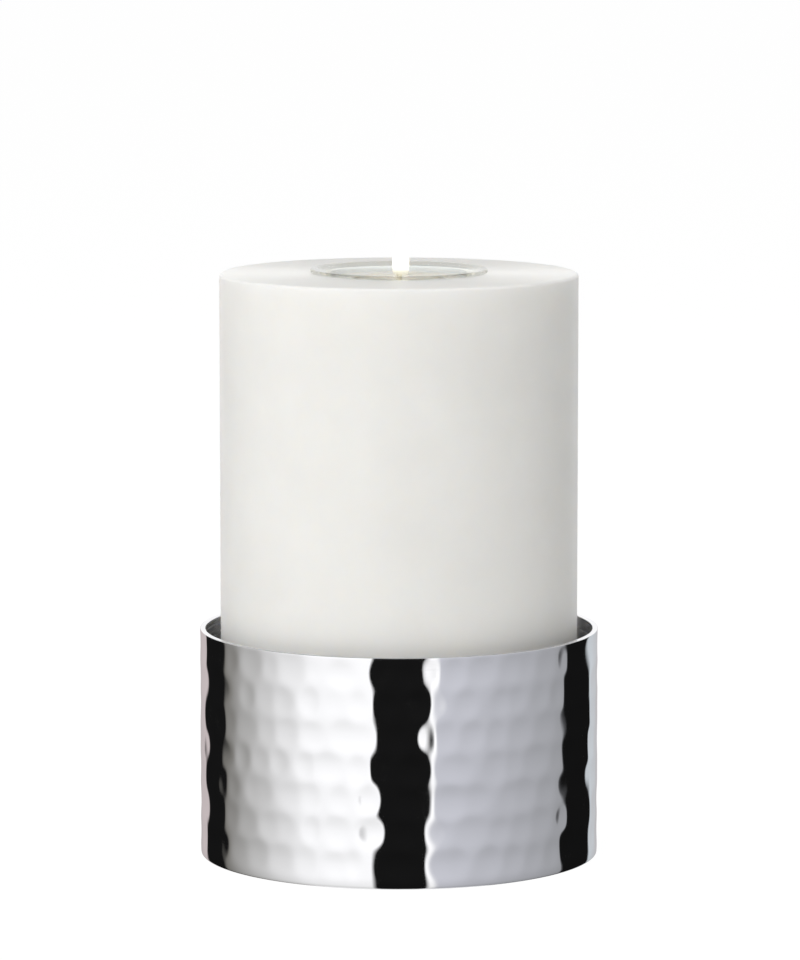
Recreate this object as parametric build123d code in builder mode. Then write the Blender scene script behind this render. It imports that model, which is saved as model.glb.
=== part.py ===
"""Candle ring: a hammered, plated metal ring round the foot of a refillable pillar candle.

The ring is an open sleeve that stands on the table. The pillar stands inside it on its own
base and never burns down: a flanged glass insert hangs in its top and takes a tealight.

Millimetres, +Z up, origin on the table at the axis that all the pieces share.
"""

import os
from math import pi

from build123d import *

os.makedirs("parts", exist_ok=True)

# Hammered ring
ring_gap = 4.3  # clear space between the pillar and the inside of the ring
ring_wall = 1.5
ring_height = 63.8
rim_chamfer = 0.2  # crisp edges, only just broken
foot_chamfer = 0.25

# Hammer marks on the outside of the ring
mark_width = 7.6  # round the ring
mark_height = 8.7  # up the ring
foot_band = 2.3  # plain band that the hammer leaves at the foot
rim_band = 0.5  # plain band at the rim
mark_drift = 0.382  # share of a mark by which each row is turned from the row below

# Pillar candle
candle_diameter = 100.0
candle_height = 163.4
candle_edge_chamfer = 0.9
candle_foot_chamfer = 1.0

# Glass insert
glass_wall = 1.5
glass_floor = 2.0
glass_draft = 0.8  # how much the cup narrows on radius from its mouth to its floor
glass_foot_chamfer = 1.2
flange_overhang = 2.85  # how far the flange reaches past the cup
flange_thickness = 1.2
flange_chamfer = 0.35
mouth_flare = 2.6  # how far the mouth opens out on radius
mouth_depth = 1.0
socket_clearance = 0.3
socket_floor_gap = 1.0
socket_chamfer = 0.5

# Tealight
tealight_diameter = 38.0
tealight_height = 16.0
tealight_clearance = 0.6  # to the glass, on radius at its floor
tealight_below_lip = 1.0
cup_wall = 0.5
cup_floor = 0.6
wax_below_rim = 1.8
wax_clearance = 0.05
wax_dip = 0.5  # how far the wax sinks at the wick
wax_dip_radius = 6.0

# Wick and the metal foot that stands it up
wick_diameter = 1.8
wick_proud = 6.0  # length standing out of the wax
wick_tip_chamfer = 0.5
wick_clearance = 0.05
sustainer_diameter = 12.0
sustainer_plate = 0.4
sustainer_neck_wall = 0.4
sustainer_neck_height = 3.0

# Radii that follow from the sizes above
candle_radius = candle_diameter / 2
ring_inner_radius = candle_radius + ring_gap
ring_radius = ring_inner_radius + ring_wall
tealight_radius = tealight_diameter / 2
cup_inner_radius = tealight_radius - cup_wall
wax_radius = cup_inner_radius - wax_clearance
glass_floor_radius = tealight_radius + tealight_clearance
glass_mouth_radius = glass_floor_radius + glass_draft
glass_foot_radius = glass_floor_radius + glass_wall
glass_neck_radius = glass_mouth_radius + glass_wall
flange_radius = glass_neck_radius + flange_overhang
socket_radius = glass_neck_radius + socket_clearance
wick_radius = wick_diameter / 2
wick_hole_radius = wick_radius + wick_clearance
neck_radius = wick_hole_radius + sustainer_neck_wall
neck_hole_radius = neck_radius + wax_clearance
sustainer_radius = sustainer_diameter / 2
plate_hole_radius = sustainer_radius + wax_clearance

# Levels above the table that follow from the sizes above
lip_level = candle_height + flange_thickness
mouth_level = lip_level - mouth_depth
cup_rim_level = lip_level - tealight_below_lip
cup_foot_level = cup_rim_level - tealight_height
glass_foot_level = cup_foot_level - glass_floor
socket_level = glass_foot_level - socket_floor_gap
cup_inside_level = cup_foot_level + cup_floor
plate_level = cup_inside_level + sustainer_plate
neck_level = cup_inside_level + sustainer_neck_height
wax_level = cup_rim_level - wax_below_rim
wick_top_level = wax_level + wick_proud

# Rows and columns of hammer marks, as many as fit
mark_columns = round(2 * pi * ring_radius / mark_width)
marked_height = ring_height - foot_band - rim_band
mark_rows = round(marked_height / mark_height)
row_step = marked_height / mark_rows
row_turn = 360 / mark_columns * mark_drift

# A row of blows beats the round wall into flats that meet in ridges
with BuildPart() as hammered_ring:
    with BuildSketch() as foot_section:
        Circle(ring_radius)
    extrude(amount=foot_band)
    for row in range(mark_rows):
        with BuildSketch(Plane.XY.offset(foot_band + row * row_step)) as blows:
            RegularPolygon(ring_radius, mark_columns, rotation=row * row_turn)
        extrude(amount=row_step)
    with BuildSketch(Plane.XY.offset(ring_height - rim_band)) as rim_section:
        Circle(ring_radius)
    extrude(amount=rim_band)
    with BuildSketch() as bore:
        Circle(ring_inner_radius)
    extrude(amount=ring_height, mode=Mode.SUBTRACT)
    chamfer(hammered_ring.edges().group_by(Axis.Z)[-1], rim_chamfer)
    chamfer(hammered_ring.edges().group_by(Axis.Z)[0], foot_chamfer)
hammered_ring.part.label = "hammered_ring"

# Pillar with a socket for the glass insert in its top
with BuildPart() as candle_body:
    with BuildSketch() as pillar_section:
        Circle(candle_radius)
    extrude(amount=candle_height)
    chamfer(candle_body.edges().group_by(Axis.Z)[-1], candle_edge_chamfer)
    chamfer(candle_body.edges().group_by(Axis.Z)[0], candle_foot_chamfer)
    with Locations((0, 0, candle_height)):
        Hole(socket_radius, candle_height - socket_level)
    top_edges = candle_body.faces().sort_by(Axis.Z)[-1].edges()
    chamfer(top_edges.sort_by(SortBy.RADIUS)[0], socket_chamfer)
candle_body.part.label = "candle_body"

# Flanged glass cup that hangs in the socket, with a flared mouth
with BuildPart() as tealight_glass:
    with BuildSketch(Plane.XZ) as glass_section:
        with BuildLine() as glass_outline:
            Polyline(
                (0, glass_foot_level),
                (glass_foot_radius, glass_foot_level),
                (glass_neck_radius, candle_height),
                (flange_radius, candle_height),
                (flange_radius, lip_level),
                (glass_mouth_radius + mouth_flare, lip_level),
                (glass_mouth_radius, mouth_level),
                (glass_floor_radius, cup_foot_level),
                (0, cup_foot_level),
                close=True,
            )
        make_face()
        chamfer(glass_section.vertices().group_by(Axis.X)[-1], flange_chamfer)
        chamfer(glass_section.vertices().group_by(Axis.Y)[0].sort_by(Axis.X)[-1], glass_foot_chamfer)
    revolve(axis=Axis.Z)
tealight_glass.part.label = "tealight_glass"

# Thin clear tealight cup, standing on the floor of the glass
with BuildPart() as tealight_cup:
    with BuildSketch(Plane.XY.offset(cup_foot_level)) as cup_foot:
        Circle(tealight_radius)
    extrude(amount=tealight_height)
    with BuildSketch(Plane.XY.offset(cup_inside_level)) as cup_inside:
        Circle(cup_inner_radius)
    extrude(amount=tealight_height, mode=Mode.SUBTRACT)
tealight_cup.part.label = "tealight_cup"

# Wax poured round the wick and its foot, sunk a little at the wick
with BuildPart() as tealight_wax:
    with BuildSketch(Plane.XZ) as wax_section:
        with BuildLine() as wax_outline:
            Polyline(
                (wick_hole_radius, wax_level - wax_dip),
                (wick_hole_radius, neck_level + wax_clearance),
                (neck_hole_radius, neck_level + wax_clearance),
                (neck_hole_radius, plate_level + wax_clearance),
                (plate_hole_radius, plate_level + wax_clearance),
                (plate_hole_radius, cup_inside_level),
                (wax_radius, cup_inside_level),
                (wax_radius, wax_level),
                (wax_dip_radius, wax_level),
                close=True,
            )
        make_face()
    revolve(axis=Axis.Z)
tealight_wax.part.label = "tealight_wax"

# Metal foot with a crimped neck, standing on the floor of the cup
with BuildPart() as wick_sustainer:
    with BuildSketch(Plane.XY.offset(cup_inside_level)) as sustainer_foot:
        Circle(sustainer_radius)
    extrude(amount=sustainer_plate)
    with BuildSketch(Plane.XY.offset(plate_level)) as sustainer_neck:
        Circle(neck_radius)
        Circle(wick_hole_radius, mode=Mode.SUBTRACT)
    extrude(amount=neck_level - plate_level)
wick_sustainer.part.label = "wick_sustainer"

# Cotton wick, from the plate of its foot up through the wax
with BuildPart() as wick:
    with BuildSketch(Plane.XY.offset(plate_level)) as wick_section:
        Circle(wick_radius)
    extrude(amount=wick_top_level - plate_level)
    chamfer(wick.edges().group_by(Axis.Z)[-1], wick_tip_chamfer)
wick.part.label = "wick"

for piece in (
    hammered_ring,
    candle_body,
    tealight_glass,
    tealight_cup,
    tealight_wax,
    wick_sustainer,
    wick,
):
    export_step(piece.part, f"parts/{piece.part.label}.step")
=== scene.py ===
"""Candle ring: a hammered, plated ring round a refillable pillar candle with a lit tealight in its top."""

import math

import bmesh
import bpy
import numpy as np
from bpy.props import FloatProperty, IntVectorProperty, PointerProperty, StringProperty
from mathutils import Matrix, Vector


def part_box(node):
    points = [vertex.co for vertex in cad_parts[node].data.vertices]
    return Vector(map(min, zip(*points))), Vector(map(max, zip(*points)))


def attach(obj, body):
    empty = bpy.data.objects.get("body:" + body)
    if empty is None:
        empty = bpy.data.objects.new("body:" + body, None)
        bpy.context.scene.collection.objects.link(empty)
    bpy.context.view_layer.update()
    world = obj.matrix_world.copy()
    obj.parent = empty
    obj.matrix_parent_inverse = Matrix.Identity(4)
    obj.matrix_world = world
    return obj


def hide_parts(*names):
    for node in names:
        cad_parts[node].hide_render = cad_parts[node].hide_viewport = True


bl_info = {
    "name": "Candle ring",
    "version": (1, 0, 0),
    "blender": (4, 5, 0),
    "location": "3D View > Sidebar > Candle ring",
    "description": "Hammered metal ring round a pillar candle with a tealight in a glass insert",
    "category": "Object",
}

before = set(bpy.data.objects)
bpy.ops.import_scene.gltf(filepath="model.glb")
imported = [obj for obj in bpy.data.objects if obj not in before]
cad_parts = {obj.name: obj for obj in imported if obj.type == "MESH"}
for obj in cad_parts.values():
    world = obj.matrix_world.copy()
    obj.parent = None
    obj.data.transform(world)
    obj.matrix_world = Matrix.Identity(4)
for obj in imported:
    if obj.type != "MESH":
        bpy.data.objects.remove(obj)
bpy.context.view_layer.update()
MM = 0.001


# Settings


class HammeredRingSettings(bpy.types.PropertyGroup):
    """The ring and its hammer marks."""

    radius: FloatProperty(
        name="Radius",
        description="Outside of the ring, at the ridges between the hammer marks",
        default=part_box("hammered_ring")[1].x,
        unit="LENGTH",
    )
    height: FloatProperty(
        name="Height",
        description="Height of the ring",
        default=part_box("hammered_ring")[1].z,
        unit="LENGTH",
    )
    wall: FloatProperty(
        name="Wall",
        description="Thickness of the ring's wall",
        default=1.5 * MM,
        unit="LENGTH",
    )
    rim_round: FloatProperty(
        name="Rim rounding",
        description="Radius of the polished edges at the rim",
        default=0.2 * MM,
        unit="LENGTH",
    )
    foot_round: FloatProperty(
        name="Foot rounding",
        description="Radius of the edges at the foot",
        default=0.3 * MM,
        unit="LENGTH",
    )
    plain_band: FloatProperty(
        name="Plain band",
        description="Height of the band at the foot that the hammer leaves",
        default=2.3 * MM,
        unit="LENGTH",
    )
    mark_width: FloatProperty(
        name="Mark width",
        description="Width of a hammer mark, round the ring",
        default=7.6 * MM,
        unit="LENGTH",
    )
    mark_height: FloatProperty(
        name="Mark height",
        description="Height of a hammer mark, up the ring",
        default=8.75 * MM,
        unit="LENGTH",
    )
    mark_depth: FloatProperty(
        name="Mark depth",
        description="How deep a usual hammer mark is at its middle",
        default=0.185 * MM,
        unit="LENGTH",
    )
    mark_bend: FloatProperty(
        name="Mark bend",
        description="Radius to which a usual hammer mark is hollowed",
        default=36.0 * MM,
        unit="LENGTH",
    )
    foot_roll: FloatProperty(
        name="Foot roll",
        description="How far the last few millimetres of the foot are drawn in",
        default=0.12 * MM,
        unit="LENGTH",
    )
    row_seeds: IntVectorProperty(
        name="Row seeds",
        description="Numbers that the unevenness of each row of marks grows from, from the foot up",
        size=7,
        default=(5526, 1583, 2028, 5873, 3331, 5924, 4409),
    )
    plate_colour: StringProperty(
        name="Plate colour",
        description="Colour of the polished plate, as sRGB hex",
        default="#F4F4F6",
    )


class PillarSettings(bpy.types.PropertyGroup):
    """The pillar candle."""

    radius: FloatProperty(
        name="Radius",
        description="Radius of the pillar",
        default=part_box("candle_body")[1].x,
        unit="LENGTH",
    )
    height: FloatProperty(
        name="Height",
        description="Height of the pillar",
        default=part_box("candle_body")[1].z,
        unit="LENGTH",
    )
    edge_round: FloatProperty(
        name="Edge rounding",
        description="Radius of the edge round the top",
        default=0.9 * MM,
        unit="LENGTH",
    )
    foot_round: FloatProperty(
        name="Foot rounding",
        description="Radius of the edge round the base",
        default=1.2 * MM,
        unit="LENGTH",
    )
    socket_radius: FloatProperty(
        name="Socket radius",
        description="Radius of the socket for the glass insert",
        default=22.2 * MM,
        unit="LENGTH",
    )
    socket_floor: FloatProperty(
        name="Socket floor",
        description="Height of the socket's floor above the table",
        default=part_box("tealight_glass")[0].z - 1.0 * MM,
        unit="LENGTH",
    )
    wax_colour: StringProperty(
        name="Wax colour",
        description="Colour of the pillar's wax, as sRGB hex",
        default="#F3F2EE",
    )


class InsertSettings(bpy.types.PropertyGroup):
    """The flanged glass insert."""

    flange_radius: FloatProperty(
        name="Flange radius",
        description="Radius of the flange that hangs on the pillar",
        default=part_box("tealight_glass")[1].x,
        unit="LENGTH",
    )
    flange_thickness: FloatProperty(
        name="Flange thickness",
        description="Thickness of the flange",
        default=1.2 * MM,
        unit="LENGTH",
    )
    neck_radius: FloatProperty(
        name="Neck radius",
        description="Outside of the cup, under the flange",
        default=21.9 * MM,
        unit="LENGTH",
    )
    foot_radius: FloatProperty(
        name="Foot radius",
        description="Outside of the cup, at its floor",
        default=21.1 * MM,
        unit="LENGTH",
    )
    wall: FloatProperty(
        name="Wall",
        description="Thickness of the cup's wall",
        default=1.5 * MM,
        unit="LENGTH",
    )
    floor: FloatProperty(
        name="Floor",
        description="Thickness of the cup's floor",
        default=2.0 * MM,
        unit="LENGTH",
    )
    mouth_flare: FloatProperty(
        name="Mouth flare",
        description="How far the mouth opens out over the flange",
        default=2.6 * MM,
        unit="LENGTH",
    )
    glass_colour: StringProperty(
        name="Glass colour",
        description="Tint of the clear glass, as sRGB hex",
        default="#FBFCFC",
    )


class TealightSettings(bpy.types.PropertyGroup):
    """The tealight and its flame."""

    radius: FloatProperty(
        name="Radius",
        description="Outside of the tealight's cup",
        default=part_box("tealight_cup")[1].x,
        unit="LENGTH",
    )
    wall: FloatProperty(
        name="Cup wall",
        description="Thickness of the cup's wall",
        default=0.5 * MM,
        unit="LENGTH",
    )
    wax_level: FloatProperty(
        name="Wax level",
        description="Height of the wax above the table",
        default=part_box("tealight_wax")[1].z,
        unit="LENGTH",
    )
    wick_radius: FloatProperty(
        name="Wick radius",
        description="Radius of the wick",
        default=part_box("wick")[1].x,
        unit="LENGTH",
    )
    flame_radius: FloatProperty(
        name="Flame radius",
        description="Radius of the flame at its widest",
        default=2.25 * MM,
        unit="LENGTH",
    )
    flame_height: FloatProperty(
        name="Flame height",
        description="Height of the flame, from its base on the wick to its tip",
        default=16.0 * MM,
        unit="LENGTH",
    )
    cup_colour: StringProperty(
        name="Cup colour",
        description="Tint of the clear cup, as sRGB hex",
        default="#FBFCFD",
    )
    wax_colour: StringProperty(
        name="Wax colour",
        description="Colour of the tealight's wax, as sRGB hex",
        default="#E4E0D7",
    )
    wick_colour: StringProperty(
        name="Wick colour",
        description="Colour of the waxed cotton, as sRGB hex",
        default="#ECE6D6",
    )
    flame_colour: StringProperty(
        name="Flame colour",
        description="Colour of the bright part of the flame, as sRGB hex",
        default="#FFFBEE",
    )


class StageSettings(bpy.types.PropertyGroup):
    """The floor, the light and the camera."""

    floor_radius: FloatProperty(
        name="Floor radius",
        description="Radius of the floor",
        default=30.0,
        unit="LENGTH",
    )
    tent_radius: FloatProperty(
        name="Tent radius",
        description="Radius of the ring of cards that the polished metal reflects",
        default=3.0,
        unit="LENGTH",
    )
    camera_distance: FloatProperty(
        name="Camera distance",
        description="Level distance from the axis of the candle to the camera",
        default=1.4836,
        unit="LENGTH",
    )
    camera_side: FloatProperty(
        name="Camera side",
        description="How far the camera stands to the right of the axis",
        default=0.3 * MM,
        unit="LENGTH",
    )
    camera_height: FloatProperty(
        name="Camera height",
        description="Height of the camera above the table",
        default=0.2960,
        unit="LENGTH",
    )
    camera_pitch: FloatProperty(
        name="Camera pitch",
        description="How far the camera looks down",
        default=math.radians(7.328),
        subtype="ANGLE",
    )
    camera_lens: FloatProperty(
        name="Camera lens",
        description="Focal length in millimetres, on a 36 mm sensor",
        default=200.5,
    )
    floor_colour: StringProperty(
        name="Floor colour",
        description="Colour of the floor, as sRGB hex",
        default="#F2F2F2",
    )


# Materials


def linear(colour):
    """An sRGB hex colour as linear red, green, blue and full alpha."""
    parts = [int(colour[i : i + 2], 16) / 255 for i in (1, 3, 5)]
    return [p / 12.92 if p <= 0.04045 else ((p + 0.055) / 1.055) ** 2.4 for p in parts] + [1.0]


def new_material(name):
    """An empty node material, and its tree."""
    material = bpy.data.materials.new(name)
    material.use_nodes = True
    material.node_tree.nodes.clear()
    return material, material.node_tree


def add_node(tree, kind, settings=None, inputs=None):
    """Adds a node, gives it its settings and ramp stops, and fills its inputs.

    An input takes a value, an output to link, or a node, of which it links the first output.
    """
    node = tree.nodes.new(kind)
    for name, value in (settings or {}).items():
        if name == "stops":
            ramp = node.color_ramp.elements
            ramp.remove(ramp[1])
            ramp[0].position = value[0][0]
            ramp[0].color = linear(value[0][1])
            for place, colour in value[1:]:
                ramp.new(place).color = linear(colour)
        else:
            setattr(node, name, value)
    for name, value in (inputs or {}).items():
        if isinstance(value, bpy.types.Node):
            value = value.outputs[0]
        if isinstance(value, bpy.types.NodeSocket):
            tree.links.new(value, node.inputs[name])
        else:
            node.inputs[name].default_value = value
    return node


def axis_distance(tree, place):
    """How far each point of a piece lies from the upright axis."""
    level = add_node(
        tree,
        "ShaderNodeMapping",
        inputs={"Vector": place.outputs["Object"], "Scale": (1.0, 1.0, 0.0)},
    )
    reach = add_node(tree, "ShaderNodeVectorMath", {"operation": "LENGTH"}, {0: level})
    return reach.outputs["Value"]


def polished_plate(colour, inside):
    """Nickel-silver plate: a clear mirror with faint buffing lines.

    Up to the radius inside it is left satin, as the sheet was rolled.
    """
    material, tree = new_material("Polished plate")
    place = add_node(tree, "ShaderNodeTexCoord")
    # Lines round the ring, which only change how sharp the mirror is. Real ones lie too close to show,
    # so they are drawn as far apart as shows.
    line_length = 30.3 * MM
    line_gap = 0.4 * MM
    lines = add_node(
        tree,
        "ShaderNodeMapping",
        inputs={
            "Vector": place.outputs["Object"],
            "Scale": (1.0 / line_length, 1.0 / line_length, 1.0 / line_gap),
        },
    )
    streaks = add_node(tree, "ShaderNodeTexNoise", inputs={"Vector": lines, "Scale": 1.0, "Detail": 3.0})
    rolled, buffed = [
        add_node(
            tree,
            "ShaderNodeMapRange",
            inputs={
                "Value": streaks,
                "From Min": 0.3,
                "From Max": 0.7,
                "To Min": smoothest,
                "To Max": roughest,
            },
        )
        for smoothest, roughest in ((0.14, 0.36), (0.02, 0.06))
    ]
    outside = add_node(
        tree,
        "ShaderNodeMath",
        {"operation": "GREATER_THAN"},
        {0: axis_distance(tree, place), 1: inside + 0.05 * MM},
    )
    gloss = add_node(tree, "ShaderNodeMix", {"data_type": "FLOAT"}, {0: outside, 2: rolled, 3: buffed})
    surface = add_node(
        tree,
        "ShaderNodeBsdfPrincipled",
        inputs={"Base Color": linear(colour), "Metallic": 1.0, "Roughness": gloss},
    )
    add_node(tree, "ShaderNodeOutputMaterial", inputs={"Surface": surface})
    return material


def moulded_wax(colour, socket, top):
    """Hard wax, cast and trimmed on a lathe: satin with a turned sheen, depth, clouds and pores.

    Near the top, inside the radius socket, it carries a painted glow: emission that stands in for the
    flame's light that the wax carries.
    """
    material, tree = new_material("Moulded hard wax")
    place = add_node(tree, "ShaderNodeTexCoord")
    cloud_size = 18.18 * MM
    clouds = add_node(
        tree,
        "ShaderNodeTexNoise",
        inputs={"Vector": place.outputs["Object"], "Scale": 1.0 / cloud_size, "Detail": 4.0},
    )
    tone = add_node(
        tree,
        "ShaderNodeValToRGB",
        {"stops": [(0.30, "#EFEEEA"), (0.70, colour)]},
        {"Fac": clouds},
    )
    # Real pores are too fine to show, so they are drawn as coarse as shows
    pore_gap = 0.5 * MM
    pores = add_node(
        tree,
        "ShaderNodeTexNoise",
        inputs={"Vector": place.outputs["Object"], "Scale": 1.0 / pore_gap, "Detail": 2.0},
    )
    gloss = add_node(
        tree,
        "ShaderNodeMapRange",
        inputs={"Value": pores, "From Min": 0.3, "From Max": 0.7, "To Min": 0.38, "To Max": 0.50},
    )
    relief = add_node(
        tree,
        "ShaderNodeBump",
        inputs={"Height": pores, "Strength": 0.25, "Distance": 0.02 * MM},
    )
    # The painted glow, emission in place of the flame's light in the wax, fades out 4 to 9 mm down the
    # socket, and on the rounding of its rim
    axes = add_node(tree, "ShaderNodeSeparateXYZ", inputs={"Vector": place.outputs["Object"]})
    painted_glow_near_top = add_node(
        tree,
        "ShaderNodeMapRange",
        inputs={
            "Value": axes.outputs["Z"],
            "From Min": top - 9.0 * MM,
            "From Max": top - 4.0 * MM,
            "To Min": 0.0,
            "To Max": 0.27,
        },
    )
    # Painted glow: emission on the socket wall that stands in for the flame's light carried in the wax
    glow = add_node(
        tree,
        "ShaderNodeMapRange",
        inputs={
            "Value": axis_distance(tree, place),
            "From Min": socket + 0.2 * MM,
            "From Max": socket + 0.6 * MM,
            "To Min": painted_glow_near_top,
            "To Max": 0.0,
        },
    )
    round_axis = add_node(tree, "ShaderNodeTangent", {"direction_type": "RADIAL", "axis": "Z"})
    surface = add_node(
        tree,
        "ShaderNodeBsdfPrincipled",
        inputs={
            "Base Color": tone,
            "Roughness": gloss,
            "IOR": 1.44,
            "Normal": relief,
            "Subsurface Weight": 0.6,
            "Subsurface Radius": (1.0, 0.92, 0.80),
            "Subsurface Scale": 8.0 * MM,
            "Anisotropic": 0.75,
            "Anisotropic Rotation": 0.25,
            "Tangent": round_axis,
            "Emission Color": linear("#FFFAF0"),
            "Emission Strength": glow,
        },
    )
    add_node(tree, "ShaderNodeOutputMaterial", inputs={"Surface": surface})
    return material


def clear_wall(name, colour, index, waves, edge=None):
    """A clear wall, see-through face on, mirroring at a slant, and open to the lamps' light.

    Past the radius edge it is seen end on, and there its see-through share is tinted darker: painted shade
    that draws the dark outline of the glass's edge.
    """
    material, tree = new_material(name)
    place = add_node(tree, "ShaderNodeTexCoord")
    unevenness = add_node(
        tree,
        "ShaderNodeTexNoise",
        inputs={"Vector": place.outputs["Object"], "Scale": 1.0 / waves, "Detail": 1.0},
    )
    relief = add_node(
        tree,
        "ShaderNodeBump",
        inputs={"Height": unevenness, "Strength": 0.2, "Distance": 0.02 * MM},
    )
    surface = add_node(
        tree,
        "ShaderNodeBsdfPrincipled",
        inputs={
            "Base Color": linear(colour),
            "Roughness": 0.01,
            "IOR": index,
            "Transmission Weight": 1.0,
            "Normal": relief,
        },
    )
    tint = linear(colour)
    if edge:
        # Painted shade: past the edge the see-through share is tinted grey, drawing the glass's dark
        # outline
        painted_edge_shade = add_node(
            tree,
            "ShaderNodeMapRange",
            inputs={"Value": axis_distance(tree, place), "From Min": edge, "From Max": edge + 0.2 * MM},
        )
        tint = add_node(
            tree,
            "ShaderNodeValToRGB",
            {"stops": [(0.0, colour), (1.0, "#EDECE8")]},
            {"Fac": painted_edge_shade},
        )
    open_way = add_node(tree, "ShaderNodeBsdfTransparent", inputs={"Color": tint})
    # The fifth power gives the share that clear glass mirrors at each angle
    slant = add_node(tree, "ShaderNodeLayerWeight", inputs={"Blend": 0.5})
    mirrored = add_node(
        tree,
        "ShaderNodeMath",
        {"operation": "POWER"},
        {0: slant.outputs["Facing"], 1: 5.0},
    )
    clear = add_node(
        tree,
        "ShaderNodeMapRange",
        inputs={"Value": mirrored, "To Min": 0.99, "To Max": 0.0},
    )
    path = add_node(tree, "ShaderNodeLightPath")
    share = add_node(
        tree,
        "ShaderNodeMapRange",
        inputs={"Value": path.outputs["Is Shadow Ray"], "To Min": clear},
    )
    wall = add_node(tree, "ShaderNodeMixShader", inputs={0: share, 1: surface, 2: open_way})
    add_node(tree, "ShaderNodeOutputMaterial", inputs={"Surface": wall})
    return material


def poured_paraffin(colour):
    """Poured paraffin: melted, glossy and clearer round the wick, set, dull and white at the cup."""
    material, tree = new_material("Poured paraffin")
    place = add_node(tree, "ShaderNodeTexCoord")
    ripple_size = 4.0 * MM
    ripple = add_node(
        tree,
        "ShaderNodeTexNoise",
        inputs={"Vector": place.outputs["Object"], "Scale": 1.0 / ripple_size, "Detail": 3.0},
    )
    # The melted pool ends about 13 mm from the axis, with an uneven shore 2 mm wide
    edge = add_node(
        tree,
        "ShaderNodeMath",
        {"operation": "MULTIPLY_ADD"},
        {0: ripple, 1: 2.0 * MM, 2: axis_distance(tree, place)},
    )
    pool = add_node(
        tree,
        "ShaderNodeMapRange",
        inputs={"Value": edge, "From Min": 13.0 * MM, "From Max": 15.0 * MM},
    )
    tone = add_node(
        tree,
        "ShaderNodeValToRGB",
        {"stops": [(0.0, "#DCD3BE"), (1.0, colour)]},
        {"Fac": pool},
    )
    gloss = add_node(tree, "ShaderNodeMapRange", inputs={"Value": pool, "To Min": 0.06, "To Max": 0.45})
    surface = add_node(
        tree,
        "ShaderNodeBsdfPrincipled",
        inputs={
            "Base Color": tone,
            "Roughness": gloss,
            "IOR": 1.44,
            "Subsurface Weight": 0.6,
            "Subsurface Radius": (1.0, 0.8, 0.55),
            "Subsurface Scale": 4.0 * MM,
        },
    )
    add_node(tree, "ShaderNodeOutputMaterial", inputs={"Surface": surface})
    return material


def tinned_steel():
    """Tinned sheet steel, stamped: a dull grey mirror with a frosty grain from the tin."""
    material, tree = new_material("Tinned sheet steel")
    place = add_node(tree, "ShaderNodeTexCoord")
    grain_size = 0.625 * MM
    grain = add_node(
        tree,
        "ShaderNodeTexVoronoi",
        inputs={"Vector": place.outputs["Object"], "Scale": 1.0 / grain_size},
    )
    tone = add_node(
        tree,
        "ShaderNodeValToRGB",
        {"stops": [(0.0, "#C9C9C8"), (1.0, "#B2B3B4")]},
        {"Fac": grain},
    )
    gloss = add_node(tree, "ShaderNodeMapRange", inputs={"Value": grain, "To Min": 0.22, "To Max": 0.40})
    surface = add_node(
        tree,
        "ShaderNodeBsdfPrincipled",
        inputs={"Base Color": tone, "Metallic": 1.0, "Roughness": gloss},
    )
    add_node(tree, "ShaderNodeOutputMaterial", inputs={"Surface": surface})
    return material


def waxed_cotton(colour, charred_from, charred_to):
    """Braided cotton, soaked in wax: matt and cream at its foot, charred black in the flame."""
    material, tree = new_material("Waxed cotton")
    place = add_node(tree, "ShaderNodeTexCoord")
    height = add_node(tree, "ShaderNodeSeparateXYZ", inputs={"Vector": place.outputs["Object"]})
    # Single fibres are too fine to show, so small bundles of them are drawn
    fibre_bundle = 0.1515 * MM
    fibres = add_node(
        tree,
        "ShaderNodeTexNoise",
        inputs={"Vector": place.outputs["Object"], "Scale": 1.0 / fibre_bundle, "Detail": 2.0},
    )
    burnt = add_node(
        tree,
        "ShaderNodeMapRange",
        inputs={"Value": height.outputs["Z"], "From Min": charred_from, "From Max": charred_to},
    )
    tone = add_node(
        tree,
        "ShaderNodeValToRGB",
        {"stops": [(0.0, colour), (0.45, "#6B5038"), (1.0, "#17130F")]},
        {"Fac": burnt},
    )
    relief = add_node(
        tree,
        "ShaderNodeBump",
        inputs={"Height": fibres, "Strength": 0.6, "Distance": 0.05 * MM},
    )
    surface = add_node(
        tree,
        "ShaderNodeBsdfPrincipled",
        inputs={"Base Color": tone, "Roughness": 0.85, "Normal": relief},
    )
    add_node(tree, "ShaderNodeOutputMaterial", inputs={"Surface": surface})
    return material


def candle_flame(colour, base, tip):
    """A candle flame: dim and partly see-through at its foot, bright from a fifth of its height."""
    material, tree = new_material("Candle flame")
    place = add_node(tree, "ShaderNodeTexCoord")
    height = add_node(tree, "ShaderNodeSeparateXYZ", inputs={"Vector": place.outputs["Object"]})
    rise = add_node(
        tree,
        "ShaderNodeMapRange",
        inputs={"Value": height.outputs["Z"], "From Min": base, "From Max": tip},
    )
    glow = add_node(
        tree,
        "ShaderNodeValToRGB",
        {
            "stops": [
                (0.0, "#8E8B7C"),
                (0.06, "#98968A"),
                (0.12, "#B4B2A8"),
                (0.20, colour),
                (1.0, "#FFEFCF"),
            ]
        },
        {"Fac": rise},
    )
    body = add_node(
        tree,
        "ShaderNodeValToRGB",
        {"stops": [(0.0, "#B0B0B0"), (0.06, "#F8F8F8"), (0.70, "#F8F8F8"), (1.0, "#808080")]},
        {"Fac": rise},
    )
    surface = add_node(
        tree,
        "ShaderNodeBsdfPrincipled",
        inputs={
            "Base Color": linear("#000000"),
            "Roughness": 1.0,
            "Specular IOR Level": 0.0,
            "Emission Color": glow,
            "Emission Strength": 3.0,
            "Alpha": body,
        },
    )
    add_node(tree, "ShaderNodeOutputMaterial", inputs={"Surface": surface})
    return material


# Shared making


def middle_of(edge):
    """The point half way along an edge."""
    return (edge.verts[0].co + edge.verts[1].co) / 2


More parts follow.
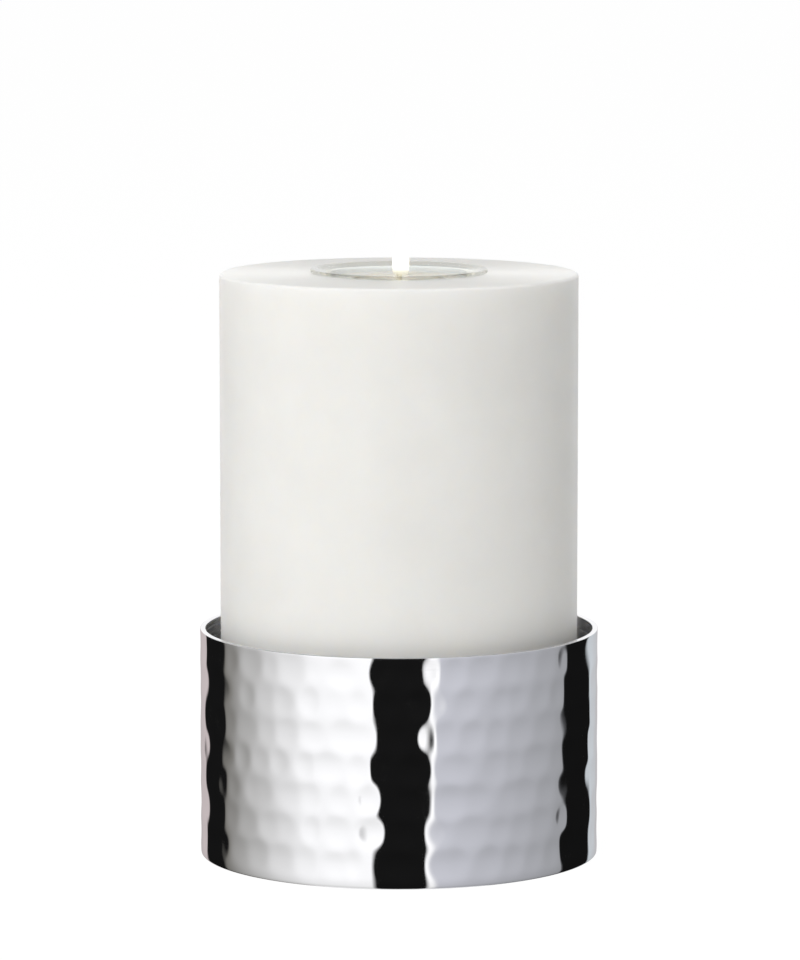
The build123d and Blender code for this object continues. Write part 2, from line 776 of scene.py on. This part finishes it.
def turned(corners, steps=160, cuts=None):
    """A section of (radius, height, rounding) corners, turned once about the upright axis.

    cuts divides the side that starts at a corner of that number into shorter ones.
    """
    bm = bmesh.new()
    verts = [bm.verts.new((radius, 0.0, height)) for radius, height, _ in corners]
    bm.faces.new(verts)
    for vert, (_, _, rounding) in zip(verts, corners):
        if rounding:
            bmesh.ops.bevel(
                bm,
                geom=[vert],
                offset=rounding,
                offset_type="OFFSET",
                affect="VERTICES",
                segments=6,
                profile=0.5,
                material=-1,
            )
    for number, count in (cuts or {}).items():
        start, end = corners[number], corners[(number + 1) % len(corners)]
        middle = Vector(((start[0] + end[0]) / 2, 0.0, (start[1] + end[1]) / 2))
        side = min(bm.edges, key=lambda edge: (middle_of(edge) - middle).length)
        bmesh.ops.subdivide_edges(bm, edges=[side], cuts=count)
    bmesh.ops.delete(bm, geom=bm.faces[:], context="FACES_ONLY")
    on_axis = [edge for edge in bm.edges if all(vert.co.x < 1e-7 for vert in edge.verts)]
    bmesh.ops.delete(bm, geom=on_axis, context="EDGES")
    bmesh.ops.spin(
        bm,
        geom=bm.verts[:] + bm.edges[:],
        cent=(0.0, 0.0, 0.0),
        axis=(0.0, 0.0, 1.0),
        angle=math.tau,
        steps=steps,
        use_merge=True,
    )
    bmesh.ops.remove_doubles(bm, verts=bm.verts[:], dist=1e-7)
    bmesh.ops.recalc_face_normals(bm, faces=bm.faces[:])
    return bm


def add_piece(bm, name, material, body, node=None, even=True):
    """Makes the mesh a smooth piece of the object that rides on a body and stands for a node."""
    mesh = bpy.data.meshes.new(name)
    bm.to_mesh(mesh)
    bm.free()
    mesh.materials.append(material)
    mesh.shade_smooth()
    piece = bpy.data.objects.new(name, mesh)
    bpy.context.scene.collection.objects.link(piece)
    if even:
        piece.modifiers.new("Even shading", "WEIGHTED_NORMAL").keep_sharp = True
    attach(piece, body)
    if node:
        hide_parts(node)
    return piece


# Hammered ring

# How much one blow differs from the next: in its place round and up the ring, as shares of a mark,
# and in its depth and its hollow round and up the ring, as shares of the usual one
PLACE_SPREAD = 0.16
LEVEL_SPREAD = 0.03
DEPTH_SPREAD = 0.22
ROUND_SPREAD = 0.32
UP_SPREAD = 0.1
# The usual hollow up the ring, as a share of the one round it
UP_SHARE = 0.9
# Softness of the ridges between the marks, and the height over which the foot is drawn in
RIDGE = 0.075 * MM
ROLL_HEIGHT = 3.0 * MM


def blows(ring):
    """The place, depth and hollow of each blow, in rows from the foot to the rim."""
    columns = round(math.tau * ring.radius / ring.mark_width)
    rows = round((ring.height - ring.plain_band) / ring.mark_height)
    pitch = (ring.height - ring.plain_band) / rows
    struck = []
    for row in range(rows):
        chance = np.random.default_rng(ring.row_seeds[row % len(ring.row_seeds)])
        drift = chance.uniform()
        step = np.arange(columns) + drift + chance.normal(0.0, PLACE_SPREAD, columns)
        level = row + 0.5 + chance.normal(0.0, LEVEL_SPREAD, columns)
        depth = 1.0 + chance.normal(0.0, DEPTH_SPREAD, columns)
        hollow_round = np.exp(chance.normal(0.0, ROUND_SPREAD, columns))
        hollow_up = UP_SHARE * np.exp(chance.normal(0.0, UP_SPREAD, columns))
        struck.append(
            {
                "drift": drift,
                "angle": step * math.tau / columns,
                "level": ring.plain_band + level * pitch,
                "depth": ring.mark_depth * depth,
                "hollow_round": hollow_round / ring.mark_bend,
                "hollow_up": hollow_up / ring.mark_bend,
            }
        )
    marks = {name: np.array([blow[name] for blow in struck]) for name in struck[0]}
    marks["pitch"] = pitch
    return marks


def hammered_depth(ring, marks, angle, height):
    """How far the wall lies inside its round shape at each place: round bowls with soft ridges."""
    rows, columns = marks["angle"].shape
    near_row = np.rint((height - ring.plain_band) / marks["pitch"] - 0.5).astype(int)
    wall = np.ones_like(angle)
    for row_step in (-1, 0, 1):
        row = near_row + row_step
        struck = (row >= 0) & (row < rows)
        row = np.clip(row, 0, rows - 1)
        near_column = np.rint(angle * columns / math.tau - marks["drift"][row]).astype(int)
        for column_step in (-2, -1, 0, 1, 2):
            column = (near_column + column_step) % columns
            along = (angle - marks["angle"][row, column] + math.pi) % math.tau - math.pi
            along = along * ring.radius
            up = height - marks["level"][row, column]
            bowl = marks["hollow_round"][row, column] * along**2
            bowl += marks["hollow_up"][row, column] * up**2
            wall += struck * np.exp((marks["depth"][row, column] - bowl / 2) / RIDGE)
    roll = np.clip(1.0 - height / ROLL_HEIGHT, 0.0, 1.0)
    return RIDGE * np.log(wall) + ring.foot_roll * roll**2


class CANDLE_RING_OT_hammered_ring(bpy.types.Operator):
    """Add the hammered ring"""

    bl_idname = "candle_ring.hammered_ring"
    bl_label = "Hammered ring"

    def execute(self, context):
        ring = context.scene.hammered_ring
        inside = ring.radius - ring.wall
        bm = turned(
            [
                (inside, 0.0, ring.foot_round),
                (ring.radius, 0.0, ring.foot_round),
                (ring.radius, ring.height, ring.rim_round),
                (inside, ring.height, ring.rim_round),
            ],
            steps=560,
            cuts={1: 110, 3: 20},
        )
        marks = blows(ring)
        places = np.array([vert.co for vert in bm.verts])
        angle = np.arctan2(places[:, 1], places[:, 0])
        radius = np.hypot(places[:, 0], places[:, 1])
        depth = hammered_depth(ring, marks, angle, places[:, 2])
        # Each blow shows through to the inside at half its depth
        share = np.where(radius > ring.radius - ring.wall / 2, 1.0, 0.5)
        scale = (radius - depth * share) / radius
        for vert, factor in zip(bm.verts, scale):
            vert.co.x *= factor
            vert.co.y *= factor
        add_piece(
            bm,
            "hammered_ring_polished",
            polished_plate(ring.plate_colour, inside),
            "ring",
            "hammered_ring",
        )
        return {"FINISHED"}


# Pillar candle


class CANDLE_RING_OT_pillar(bpy.types.Operator):
    """Add the pillar candle"""

    bl_idname = "candle_ring.pillar"
    bl_label = "Pillar candle"

    def execute(self, context):
        pillar = context.scene.pillar
        bm = turned(
            [
                (0.0, 0.0, 0.0),
                (pillar.radius, 0.0, pillar.foot_round),
                (pillar.radius, pillar.height, pillar.edge_round),
                (pillar.socket_radius, pillar.height, 0.6 * MM),
                (pillar.socket_radius, pillar.socket_floor, 0.8 * MM),
                (0.0, pillar.socket_floor, 0.0),
            ],
            steps=192,
            cuts={1: 40},
        )
        material = moulded_wax(pillar.wax_colour, pillar.socket_radius, pillar.height)
        add_piece(bm, "pillar_wax", material, "candle", "candle_body")
        return {"FINISHED"}


# Glass insert


class CANDLE_RING_OT_glass_insert(bpy.types.Operator):
    """Add the flanged glass insert"""

    bl_idname = "candle_ring.glass_insert"
    bl_label = "Glass insert"

    def execute(self, context):
        glass = context.scene.glass_insert
        lowest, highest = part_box("tealight_glass")
        under_flange = highest.z - glass.flange_thickness
        mouth = glass.neck_radius - glass.wall
        mouth_depth = 1.0 * MM
        lip_round = 0.5 * MM
        bm = turned(
            [
                (0.0, lowest.z, 0.0),
                (glass.foot_radius, lowest.z, 1.2 * MM),
                (glass.neck_radius, under_flange, 0.25 * MM),
                (glass.flange_radius, under_flange, lip_round),
                (glass.flange_radius, highest.z, lip_round),
                (mouth + glass.mouth_flare, highest.z, 0.7 * MM),
                (mouth, highest.z - mouth_depth, 0.7 * MM),
                (glass.foot_radius - glass.wall, lowest.z + glass.floor, 0.5 * MM),
                (0.0, lowest.z + glass.floor, 0.0),
            ],
            steps=192,
        )
        edge = glass.flange_radius - lip_round
        material = clear_wall("Pressed clear glass", glass.glass_colour, 1.52, 9.0 * MM, edge)
        add_piece(bm, "glass_insert", material, "glass", "tealight_glass")
        return {"FINISHED"}


# Tealight

CUP_FLOOR = 0.6 * MM
# Between the wax, the wick and the wick's foot
CLEARANCE = 0.05 * MM
# Thickness of the sheet that the wick's foot is stamped from
FOOT_SHEET = 0.4 * MM
# Height from one strand of the wick's braid to the next
STRAND_STEP = 3.0 * MM


class CANDLE_RING_OT_tealight(bpy.types.Operator):
    """Add the tealight: its cup, its wax, its wick and the wick's metal foot"""

    bl_idname = "candle_ring.tealight"
    bl_label = "Tealight"

    def execute(self, context):
        tealight = context.scene.tealight
        self.add_cup(tealight)
        self.add_wax(tealight)
        self.add_sustainer(tealight)
        self.add_wick(tealight)
        return {"FINISHED"}

    def add_cup(self, tealight):
        lowest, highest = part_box("tealight_cup")
        inside = tealight.radius - tealight.wall
        bm = turned(
            [
                (0.0, lowest.z, 0.0),
                (tealight.radius, lowest.z, 0.8 * MM),
                (tealight.radius, highest.z, 0.2 * MM),
                (inside, highest.z, 0.2 * MM),
                (inside, lowest.z + CUP_FLOOR, 0.4 * MM),
                (0.0, lowest.z + CUP_FLOOR, 0.0),
            ],
            steps=160,
        )
        material = clear_wall("Moulded clear polycarbonate", tealight.cup_colour, 1.58, 14.0 * MM)
        add_piece(bm, "tealight_cup_clear", material, "tealight", "tealight_cup")

    def add_wax(self, tealight):
        lowest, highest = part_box("tealight_wax")
        side = highest.x
        hole = tealight.wick_radius + CLEARANCE
        neck = hole + FOOT_SHEET + CLEARANCE
        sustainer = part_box("wick_sustainer")[1]
        foot = sustainer.x + CLEARANCE
        over_plate = lowest.z + FOOT_SHEET + CLEARANCE
        over_neck = sustainer.z + CLEARANCE
        level = tealight.wax_level
        bm = turned(
            [
                (hole, level - 0.5 * MM, 0.0),
                (3.0 * MM, level - 0.32 * MM, 1.0 * MM),
                (7.0 * MM, level, 2.5 * MM),
                (side - 1.0 * MM, level, 0.7 * MM),
                (side, level + 0.5 * MM, 0.1 * MM),
                (side, lowest.z, 0.3 * MM),
                (foot, lowest.z, 0.0),
                (foot, over_plate, 0.0),
                (neck, over_plate, 0.0),
                (neck, over_neck, 0.0),
                (hole, over_neck, 0.0),
            ],
            steps=128,
        )
        material = poured_paraffin(tealight.wax_colour)
        add_piece(bm, "tealight_wax_pool", material, "tealight", "tealight_wax")

    def add_sustainer(self, tealight):
        lowest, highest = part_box("wick_sustainer")
        hole = tealight.wick_radius + CLEARANCE
        neck = hole + FOOT_SHEET
        plate = lowest.z + FOOT_SHEET
        bm = turned(
            [
                (0.0, lowest.z, 0.0),
                (highest.x, lowest.z, 0.12 * MM),
                (highest.x, plate, 0.2 * MM),
                (neck, plate, 0.1 * MM),
                (neck, highest.z, 0.15 * MM),
                (hole, highest.z, 0.1 * MM),
                (hole, plate, 0.0),
                (0.0, plate, 0.0),
            ],
            steps=96,
            cuts={3: 12},
        )
        # Four dents where the neck is crimped on the wick
        dent_depth = 0.1 * MM
        dent_reach = 0.6 * MM
        dent_level = plate + 1.5 * MM
        for vert in bm.verts:
            radius = math.hypot(vert.co.x, vert.co.y)
            if radius > hole + FOOT_SHEET / 2 and vert.co.z > plate + 0.3 * MM:
                turn = math.cos(2.0 * math.atan2(vert.co.y, vert.co.x)) ** 8
                rise = math.exp(-(((vert.co.z - dent_level) / dent_reach) ** 2))
                factor = 1.0 - dent_depth * turn * rise / radius
                vert.co.x *= factor
                vert.co.y *= factor
        add_piece(bm, "wick_foot_stamped", tinned_steel(), "tealight", "wick_sustainer")

    def add_wick(self, tealight):
        lowest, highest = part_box("wick")
        steps = 96
        bm = bmesh.new()
        bmesh.ops.create_circle(bm, segments=24, radius=tealight.wick_radius)
        bmesh.ops.translate(bm, verts=bm.verts[:], vec=(0.0, 0.0, lowest.z))
        bmesh.ops.spin(
            bm,
            geom=bm.verts[:] + bm.edges[:],
            cent=(0.0, 0.0, 0.0),
            axis=(0.0, 0.0, 1.0),
            dvec=(0.0, 0.0, (highest.z - lowest.z) / steps),
            angle=0.0,
            steps=steps,
        )
        ends = [edge for edge in bm.edges if edge.is_boundary]
        bmesh.ops.holes_fill(bm, edges=ends, sides=0)
        bmesh.ops.recalc_face_normals(bm, faces=bm.faces[:])
        # Three strands each way cross over each other, and the burnt tip draws in
        tip_height = 2.0 * MM
        for vert in bm.verts:
            turn = math.atan2(vert.co.y, vert.co.x)
            rise = math.tau * (vert.co.z - lowest.z) / STRAND_STEP
            strand = max(math.cos(3.0 * turn + rise), math.cos(3.0 * turn - rise))
            tip = max(0.0, min(1.0, (highest.z - vert.co.z) / tip_height))
            factor = (1.0 - 0.09 * (1.0 - strand)) * (0.55 + 0.45 * math.sqrt(tip))
            vert.co.x *= factor
            vert.co.y *= factor
        level = tealight.wax_level
        material = waxed_cotton(tealight.wick_colour, level + 3.0 * MM, level + 5.5 * MM)
        add_piece(bm, "wick_braid", material, "tealight", "wick", even=False)


# Flame

# Its outline, from its foot to its tip, as shares of its radius and of its height
FLAME_OUTLINE = [
    (0.0, 0.0),
    (0.90, 0.003),
    (1.03, 0.045),
    (1.04, 0.30),
    (0.88, 0.50),
    (0.52, 0.72),
    (0.20, 0.90),
    (0.0, 1.0),
]


class CANDLE_RING_OT_flame(bpy.types.Operator):
    """Add the flame on the wick"""

    bl_idname = "candle_ring.flame"
    bl_label = "Flame"

    def execute(self, context):
        tealight = context.scene.tealight
        base = tealight.wax_level + 1.0 * MM
        tip = base + tealight.flame_height
        aside = 0.5 * MM
        outline = [
            (out * tealight.flame_radius, base + up * tealight.flame_height, 0.0)
            for out, up in FLAME_OUTLINE
        ]
        bm = turned(outline, steps=20)
        bmesh.ops.translate(bm, verts=bm.verts[:], vec=(aside, 0.0, 0.0))
        material = candle_flame(tealight.flame_colour, base, tip)
        piece = add_piece(bm, "flame", material, "tealight", even=False)
        smooth = piece.modifiers.new("Soft outline", "SUBSURF")
        smooth.levels = 2
        smooth.render_levels = 2
        return {"FINISHED"}


# Stage

# White cards and black flags round the table, which the polished wall reflects: from and to, by
# the angle round from the camera to the right, and the shade at each end
CARDS = [
    ("left of the backdrop", -180.0, -150.0, "#AFA9AA", "#C3B8B8"),
    ("left flag", -147.0, -122.0, "#141414", "#141414"),
    ("left sweep", -119.0, -50.0, "#75736E", "#F8F8F8"),
    ("front sweep", -50.0, -15.0, "#F8F8F8", "#FFFFFF"),
    ("front flag", -13.5, 16.0, "#151515", "#151515"),
    ("white strip", 17.5, 20.0, "#FFFFFF", "#FFFFFF"),
    ("right sweep", 23.0, 108.5, "#C3C4CB", "#98999C"),
    ("right flag", 110.0, 142.0, "#121212", "#121212"),
    ("right of the backdrop", 145.0, 180.0, "#C3C9CD", "#AFA9AA"),
]

# How far the cards reach below and above the table, as shares of the tent's radius, and their light
CARDS_BELOW = 2.0
CARDS_ABOVE = 0.05
CARDS_LIGHT = 1.24

# The cards' shade, from their lower edge to their upper one
CARD_SHADES = [
    (0.00, "#F0F0F0"),
    (0.50, "#ECECEC"),
    (0.60, "#CCCCCB"),
    (0.69, "#A6A6A4"),
    (0.76, "#CFCFCE"),
    (0.88, "#EFEFEF"),
    (1.00, "#FFFFFF"),
]

# Softboxes: power in watts, width in metres, angle round from the camera to the right and angle up
LAMPS = [
    ("Key softbox", 9.5, 0.9, -28.0, 24.0),
    ("Left fill", 1.3, 0.8, -95.0, 15.0),
    ("Top softbox", 9.2, 1.0, 0.0, 86.0),
]
# Distance of the lamps from the point that they face, and its height above the table
LAMP_DISTANCE = 1.6
LAMP_AIM = 0.08


def floor_paper(colour):
    """White paper, evenly lit from below as on a light table, which keeps the object's shadow."""
    material, tree = new_material("White floor paper")
    paper = add_node(tree, "ShaderNodeBsdfDiffuse", inputs={"Color": linear(colour)})
    white = add_node(tree, "ShaderNodeEmission", inputs={"Color": linear("#FFFFFF"), "Strength": 1.06})
    path = add_node(tree, "ShaderNodeLightPath")
    seen = add_node(
        tree,
        "ShaderNodeMath",
        {"operation": "MAXIMUM"},
        {0: path.outputs["Is Camera Ray"], 1: path.outputs["Is Transmission Ray"]},
    )
    lit = add_node(tree, "ShaderNodeMath", {"operation": "MULTIPLY"}, {0: seen, 1: 0.90})
    surface = add_node(tree, "ShaderNodeMixShader", inputs={0: lit, 1: paper, 2: white})
    add_node(tree, "ShaderNodeOutputMaterial", inputs={"Surface": surface})
    return material


def reflection_cards(radius):
    """Black and white studio cards, set round the table for the polished metal."""
    material, tree = new_material("Reflection cards")
    place = add_node(tree, "ShaderNodeTexCoord")
    axes = add_node(tree, "ShaderNodeSeparateXYZ", inputs={"Vector": place.outputs["Object"]})
    towards = add_node(tree, "ShaderNodeMath", {"operation": "MULTIPLY"}, {0: axes.outputs["Y"], 1: -1.0})
    turn = add_node(tree, "ShaderNodeMath", {"operation": "ARCTAN2"}, {0: axes.outputs["X"], 1: towards})
    share = add_node(
        tree,
        "ShaderNodeMapRange",
        inputs={"Value": turn, "From Min": -math.pi, "From Max": math.pi},
    )
    stops = []
    for _, start, end, first, last in CARDS:
        stops += [(start / 360.0 + 0.5, first), (end / 360.0 + 0.5, last)]
    cards = add_node(tree, "ShaderNodeValToRGB", {"stops": stops}, {"Fac": share})
    slope = add_node(
        tree,
        "ShaderNodeMapRange",
        inputs={
            "Value": axes.outputs["Z"],
            "From Min": -CARDS_BELOW * radius,
            "From Max": CARDS_ABOVE * radius,
        },
    )
    shades = add_node(tree, "ShaderNodeValToRGB", {"stops": CARD_SHADES}, {"Fac": slope})
    shaded = add_node(
        tree,
        "ShaderNodeMix",
        {"data_type": "RGBA", "blend_type": "MULTIPLY"},
        {0: 1.0, 6: cards, 7: shades},
    )
    light = add_node(
        tree,
        "ShaderNodeEmission",
        inputs={"Color": shaded.outputs[2], "Strength": CARDS_LIGHT},
    )
    add_node(tree, "ShaderNodeOutputMaterial", inputs={"Surface": light})
    return material


class CANDLE_RING_OT_stage(bpy.types.Operator):
    """Add the floor, the reflection cards, the light and the camera"""

    bl_idname = "candle_ring.stage"
    bl_label = "Stage"

    def execute(self, context):
        stage = context.scene.stage
        context.scene.view_settings.view_transform = "Standard"
        self.add_floor(stage)
        self.add_cards(stage)
        self.add_world(context.scene)
        for name, power, size, azimuth, elevation in LAMPS:
            self.add_lamp(name, power, size, math.radians(azimuth), math.radians(elevation))
        self.add_camera(context.scene, stage)
        return {"FINISHED"}

    def add_staged(self, bm, name, material):
        mesh = bpy.data.meshes.new(name)
        bm.to_mesh(mesh)
        bm.free()
        mesh.materials.append(material)
        staged = bpy.data.objects.new(name, mesh)
        bpy.context.scene.collection.objects.link(staged)
        return staged

    def add_floor(self, stage):
        bm = bmesh.new()
        bmesh.ops.create_circle(bm, cap_ends=True, segments=64, radius=stage.floor_radius)
        floor = self.add_staged(bm, "floor", floor_paper(stage.floor_colour))
        floor.visible_glossy = False

    def add_cards(self, stage):
        bm = bmesh.new()
        bmesh.ops.create_circle(bm, segments=180, radius=stage.tent_radius)
        below = CARDS_BELOW * stage.tent_radius
        above = CARDS_ABOVE * stage.tent_radius
        bmesh.ops.translate(bm, verts=bm.verts[:], vec=(0.0, 0.0, -below))
        raised = bmesh.ops.extrude_edge_only(bm, edges=bm.edges[:])["geom"]
        upper = [item for item in raised if isinstance(item, bmesh.types.BMVert)]
        bmesh.ops.translate(bm, verts=upper, vec=(0.0, 0.0, below + above))
        cards = self.add_staged(bm, "reflection_cards", reflection_cards(stage.tent_radius))
        cards.visible_camera = False
        cards.visible_diffuse = False
        cards.visible_transmission = False
        cards.visible_volume_scatter = False
        cards.visible_shadow = False

    def add_world(self, scene):
        world = bpy.data.worlds.new("Studio")
        scene.world = world
        world.use_nodes = True
        tree = world.node_tree
        tree.nodes.clear()
        path = add_node(tree, "ShaderNodeLightPath")
        place = add_node(tree, "ShaderNodeTexCoord")
        axes = add_node(tree, "ShaderNodeSeparateXYZ", inputs={"Vector": place.outputs["Generated"]})
        # Mirrors see the white backdrop, which ends 20 to 30 degrees up, and the dim studio over it;
        # what is mirrored inside the glass sees the white all round
        backdrop = add_node(
            tree,
            "ShaderNodeMapRange",
            inputs={
                "Value": axes.outputs["Z"],
                "From Min": math.sin(math.radians(19.88)),
                "From Max": math.sin(math.radians(30.0)),
                "To Min": 1.0,
                "To Max": 0.0,
            },
        )
        bright = add_node(
            tree,
            "ShaderNodeMath",
            {"operation": "MAXIMUM"},
            {0: backdrop, 1: path.outputs["Transmission Depth"]},
        )
        mirrored = add_node(
            tree,
            "ShaderNodeMath",
            {"operation": "MULTIPLY"},
            {0: path.outputs["Is Glossy Ray"], 1: bright},
        )
        facing = add_node(
            tree,
            "ShaderNodeMath",
            {"operation": "MAXIMUM"},
            {0: path.outputs["Is Camera Ray"], 1: mirrored},
        )
        seen = add_node(
            tree,
            "ShaderNodeMath",
            {"operation": "MAXIMUM"},
            {0: facing, 1: path.outputs["Is Transmission Ray"]},
        )
        dim = add_node(
            tree,
            "ShaderNodeMapRange",
            inputs={"Value": path.outputs["Is Glossy Ray"], "To Min": 0.43, "To Max": 0.18},
        )
        soft = add_node(
            tree,
            "ShaderNodeBackground",
            inputs={"Color": linear("#FFFFFF"), "Strength": dim},
        )
        white = add_node(tree, "ShaderNodeBackground", inputs={"Color": linear("#FFFFFF")})
        shown = add_node(tree, "ShaderNodeMixShader", inputs={0: seen, 1: soft, 2: white})
        add_node(tree, "ShaderNodeOutputWorld", inputs={"Surface": shown})

    def add_lamp(self, name, power, size, turn, rise):
        data = bpy.data.lights.new(name, "AREA")
        data.shape = "SQUARE"
        data.size = size
        data.energy = power
        lamp = bpy.data.objects.new(name, data)
        level = LAMP_DISTANCE * math.cos(rise)
        height = LAMP_AIM + LAMP_DISTANCE * math.sin(rise)
        lamp.location = (level * math.sin(turn), -level * math.cos(turn), height)
        lamp.rotation_euler = (math.pi / 2 - rise, 0.0, turn)
        lamp.visible_glossy = False
        lamp.visible_camera = False
        bpy.context.scene.collection.objects.link(lamp)

    def add_camera(self, scene, stage):
        data = bpy.data.cameras.new("Camera")
        data.sensor_width = 36.0
        data.lens = stage.camera_lens
        data.clip_end = 100.0
        camera = bpy.data.objects.new("Camera", data)
        camera.location = (stage.camera_side, -stage.camera_distance, stage.camera_height)
        camera.rotation_euler = (math.pi / 2 - stage.camera_pitch, 0.0, 0.0)
        scene.collection.objects.link(camera)
        scene.camera = camera


class CANDLE_RING_PT_pieces(bpy.types.Panel):
    """The pieces of the candle ring and its stage"""

    bl_idname = "CANDLE_RING_PT_pieces"
    bl_label = "Candle ring"
    bl_space_type = "VIEW_3D"
    bl_region_type = "UI"
    bl_category = "Candle ring"

    def draw(self, context):
        for operator in OPERATORS:
            self.layout.operator(operator.bl_idname)


SETTINGS = {
    "hammered_ring": HammeredRingSettings,
    "pillar": PillarSettings,
    "glass_insert": InsertSettings,
    "tealight": TealightSettings,
    "stage": StageSettings,
}
OPERATORS = (
    CANDLE_RING_OT_stage,
    CANDLE_RING_OT_hammered_ring,
    CANDLE_RING_OT_pillar,
    CANDLE_RING_OT_glass_insert,
    CANDLE_RING_OT_tealight,
    CANDLE_RING_OT_flame,
)


def register():
    for name, group in SETTINGS.items():
        bpy.utils.register_class(group)
        setattr(bpy.types.Scene, name, PointerProperty(type=group))
    for operator in OPERATORS:
        bpy.utils.register_class(operator)
    bpy.utils.register_class(CANDLE_RING_PT_pieces)


def unregister():
    bpy.utils.unregister_class(CANDLE_RING_PT_pieces)
    for operator in reversed(OPERATORS):
        bpy.utils.unregister_class(operator)
    for name, group in SETTINGS.items():
        delattr(bpy.types.Scene, name)
        bpy.utils.unregister_class(group)


def main():
    register()
    bpy.ops.candle_ring.stage()
    bpy.ops.candle_ring.hammered_ring()
    bpy.ops.candle_ring.pillar()
    bpy.ops.candle_ring.glass_insert()
    bpy.ops.candle_ring.tealight()
    bpy.ops.candle_ring.flame()


if __name__ == "__main__":
    main()
